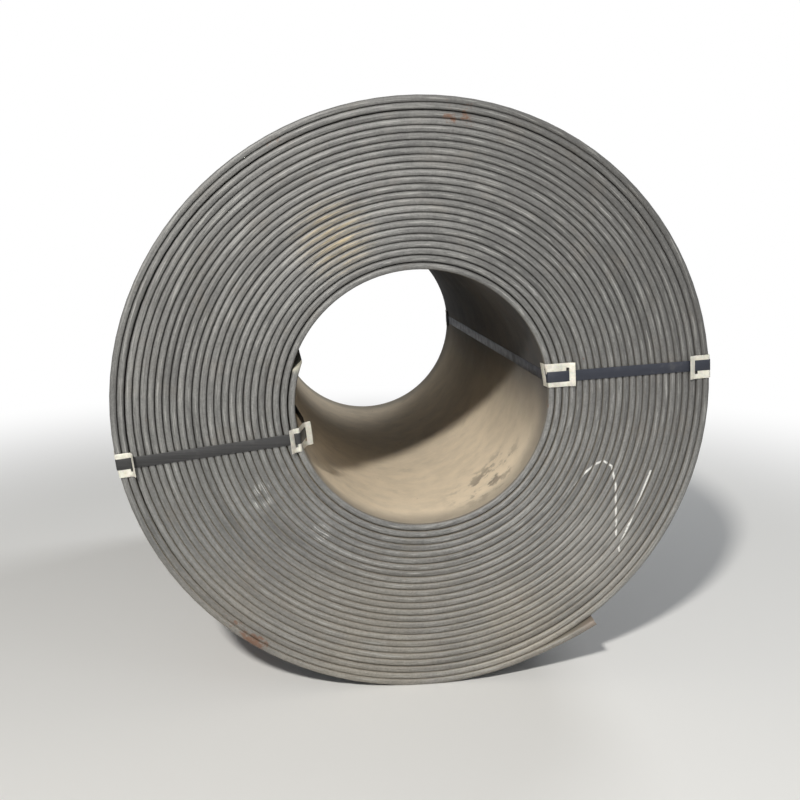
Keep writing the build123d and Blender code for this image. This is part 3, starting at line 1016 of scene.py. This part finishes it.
class STEELCOIL_OT_wind_strip(bpy.types.Operator):
    """Winds the strip into a coil"""

    bl_idname = "steelcoil.wind_strip"
    bl_label = "Wind strip"

    def execute(self, context):
        settings = context.scene.steelcoil_strip
        mesh = bpy.data.meshes.new("wound_strip")
        piece = bpy.data.objects.new("wound_strip", mesh)
        context.scene.collection.objects.link(piece)
        modifier = piece.modifiers.new("Wound strip", "NODES")
        modifier.node_group = winding_tree()
        set_inputs(
            modifier,
            {
                "Inner radius": settings.inner_radius, "Thickness": settings.thickness, "Gap": settings.gap,
                "Turns": settings.turns, "Start angle": settings.inner_end_angle, "Half width": HALF_WIDTH,
                "Crown": settings.crown, "Wander": settings.wander, "Tail lift": settings.tail_lift,
                "Tail shift": settings.tail_shift, "Steps": settings.steps, "Material": strip_material(settings),
            },
        )
        plain_mesh(piece)
        hand_over(piece, 50, "coil")
        return {"FINISHED"}


class STEELCOIL_OT_loop_straps(bpy.types.Operator):
    """Loops a flat strap through the bore and round the wall on each side"""

    bl_idname = "steelcoil.loop_straps"
    bl_label = "Loop straps"

    def execute(self, context):
        scene = context.scene
        settings = scene.steelcoil_strap
        material = strap_material(settings)
        tree = strap_tree()
        for side in STRAP_LAY:
            points = strap_line(scene, side)
            angle, _, bore, outside = seats(scene, side)
            mesh = bpy.data.meshes.new("strap_line_" + side)
            edges = [(i, i + 1) for i in range(len(points) - 1)]
            mesh.from_pydata([(u, v, 0.0) for u, v, bend in points], edges, [])
            bends = mesh.attributes.new("bend", "FLOAT", "POINT")
            for value, (u, v, bend) in zip(bends.data, points):
                value.value = bend
            piece = bpy.data.objects.new("steel_strap_" + side, mesh)
            scene.collection.objects.link(piece)
            modifier = piece.modifiers.new("Flat strap", "NODES")
            modifier.node_group = tree
            set_inputs(
                modifier,
                {
                    "Width": settings.width, "Gauge": settings.gauge, "Angle": angle,
                    "Front offset": STRAP_LAY[side][1], "Rear offset": STRAP_LAY[side][2],
                    "Bore radius": bore, "Outside radius": outside, "Half width": HALF_WIDTH,
                    "Follow bore": 1.0 if side == "right" else 0.0, "Material": material,
                },
            )
            plain_mesh(piece)
            hand_over(piece, 40, "strap_" + side)
        return {"FINISHED"}


class STEELCOIL_OT_fold_protectors(bpy.types.Operator):
    """Folds the slotted protectors over the edges under the straps"""

    bl_idname = "steelcoil.fold_protectors"
    bl_label = "Fold protectors"

    def execute(self, context):
        scene = context.scene
        settings = scene.steelcoil_protector
        material = zinc_material(settings)
        for name in FOLDS:
            mesh = protector_mesh(scene, name)
            sheet_piece(
                scene, "edge_plate_" + name, mesh, settings.gauge, material, "protector_" + name
            )
        return {"FINISHED"}


class STEELCOIL_OT_crimp_seals(bpy.types.Operator):
    """Crimps a seal over the ends of each strap"""

    bl_idname = "steelcoil.crimp_seals"
    bl_label = "Crimp seals"

    def execute(self, context):
        scene = context.scene
        settings = scene.steelcoil_strap
        material = seal_material()
        for side in STRAP_LAY:
            mesh = seal_mesh(scene, side)
            sheet_piece(scene, "crimped_seal_" + side, mesh, settings.gauge, material, "seal_" + side)
        return {"FINISHED"}


class STEELCOIL_OT_set_stage(bpy.types.Operator):
    """Lays the floor and sets the light and the camera"""

    bl_idname = "steelcoil.set_stage"
    bl_label = "Set stage"

    def execute(self, context):
        settings = context.scene.steelcoil_stage
        scene = context.scene
        scene.view_settings.view_transform = "Standard"
        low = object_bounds()[0][2]

        mesh = bpy.data.meshes.new("floor")
        reach = 60.0
        corners = [(-reach, -reach, low), (reach, -reach, low), (reach, reach, low), (-reach, reach, low)]
        mesh.from_pydata(corners, [], [(0, 1, 2, 3)])
        floor = bpy.data.objects.new("floor", mesh)
        scene.collection.objects.link(floor)
        material, g, shader, place = new_material("pale_floor")
        x, y, _ = g.parts(place)
        shader.inputs["Base Color"].default_value = tuple(settings.floor_colour) + (1.0,)
        shader.inputs["Roughness"].default_value = 0.9
        distance = g.math("SQRT", g.math("ADD", g.math("MULTIPLY", x, x), g.math("MULTIPLY", y, y)))
        far = g.ramp(distance, *FADE)
        ray = g.node("ShaderNodeLightPath").outputs["Is Camera Ray"]
        glow = g.node("ShaderNodeEmission", Strength=1.0)
        blend = g.node("ShaderNodeMixShader")
        g.feed(blend.inputs[0], g.math("MULTIPLY", far, ray))
        g.feed(blend.inputs[1], shader.outputs[0])
        g.feed(blend.inputs[2], glow.outputs[0])
        output = next(n for n in material.node_tree.nodes if n.type == "OUTPUT_MATERIAL")
        g.feed(output.inputs[0], blend.outputs[0])
        mesh.materials.append(material)
        floor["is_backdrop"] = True

        world = bpy.data.worlds.new("studio")
        scene.world = world
        world.use_nodes = True
        world.node_tree.nodes.clear()
        g = Graph(world.node_tree)
        path = g.node("ShaderNodeLightPath").outputs
        mirrored = g.math("MAXIMUM", path["Is Glossy Ray"], path["Is Transmission Ray"])
        seen = g.math("MAXIMUM", path["Is Camera Ray"], mirrored)
        sky = g.node("ShaderNodeBackground", Color=(0.90, 0.95, 1.0, 1.0), Strength=0.12)
        white = g.node("ShaderNodeBackground", Color=(1.0, 1.0, 1.0, 1.0), Strength=1.0)
        blend = g.node("ShaderNodeMixShader")
        g.feed(blend.inputs[0], seen)
        g.feed(blend.inputs[1], sky.outputs[0])
        g.feed(blend.inputs[2], white.outputs[0])
        output = g.node("ShaderNodeOutputWorld")
        g.feed(output.inputs[0], blend.outputs[0])

        for name, (place, aim, size, power, tint) in LAMPS.items():
            light = bpy.data.lights.new(name, "AREA")
            light.shape = "DISK"
            light.size = size
            light.energy = power
            light.color = tint
            piece = bpy.data.objects.new(name, light)
            piece.location = place
            piece.rotation_euler = (Vector(aim) - Vector(place)).to_track_quat("-Z", "Y").to_euler()
            scene.collection.objects.link(piece)

        camera = bpy.data.cameras.new("camera")
        camera.lens = settings.lens
        camera.sensor_width = 36.0
        camera.clip_end = 200.0
        viewer = bpy.data.objects.new("camera", camera)
        viewer.location = settings.camera_place
        viewer.rotation_euler = Vector(settings.camera_way).to_track_quat("-Z", "Y").to_euler()
        scene.collection.objects.link(viewer)
        scene.camera = viewer
        return {"FINISHED"}


class STEELCOIL_PT_pieces(bpy.types.Panel):
    """Lists the settings and the steps that make the coil"""

    bl_label = "Steel coil"
    bl_idname = "STEELCOIL_PT_pieces"
    bl_space_type = "VIEW_3D"
    bl_region_type = "UI"
    bl_category = "Steel coil"

    def draw(self, context):
        for name, kind in SETTINGS.items():
            for key in kind.__annotations__:
                self.layout.prop(getattr(context.scene, name), key)
        for operator in OPERATORS:
            self.layout.operator(operator.bl_idname)


SETTINGS = {
    "steelcoil_strip": StripSettings,
    "steelcoil_strap": StrapSettings,
    "steelcoil_protector": ProtectorSettings,
    "steelcoil_stage": StageSettings,
}
OPERATORS = (
    STEELCOIL_OT_wind_strip,
    STEELCOIL_OT_loop_straps,
    STEELCOIL_OT_fold_protectors,
    STEELCOIL_OT_crimp_seals,
    STEELCOIL_OT_set_stage,
)


def register():
    """Registers the settings, the operators and the panel."""
    for kind in (*SETTINGS.values(), *OPERATORS, STEELCOIL_PT_pieces):
        bpy.utils.register_class(kind)
    for name, kind in SETTINGS.items():
        setattr(bpy.types.Scene, name, bpy.props.PointerProperty(type=kind))


def unregister():
    """Removes what register added."""
    for name in SETTINGS:
        delattr(bpy.types.Scene, name)
    for kind in (STEELCOIL_PT_pieces, *reversed(OPERATORS), *SETTINGS.values()):
        bpy.utils.unregister_class(kind)


def main():
    """Makes every piece in order."""
    register()
    bpy.ops.steelcoil.wind_strip()
    bpy.ops.steelcoil.loop_straps()
    bpy.ops.steelcoil.fold_protectors()
    bpy.ops.steelcoil.crimp_seals()
    bpy.ops.steelcoil.set_stage()


if __name__ == "__main__":
    main()
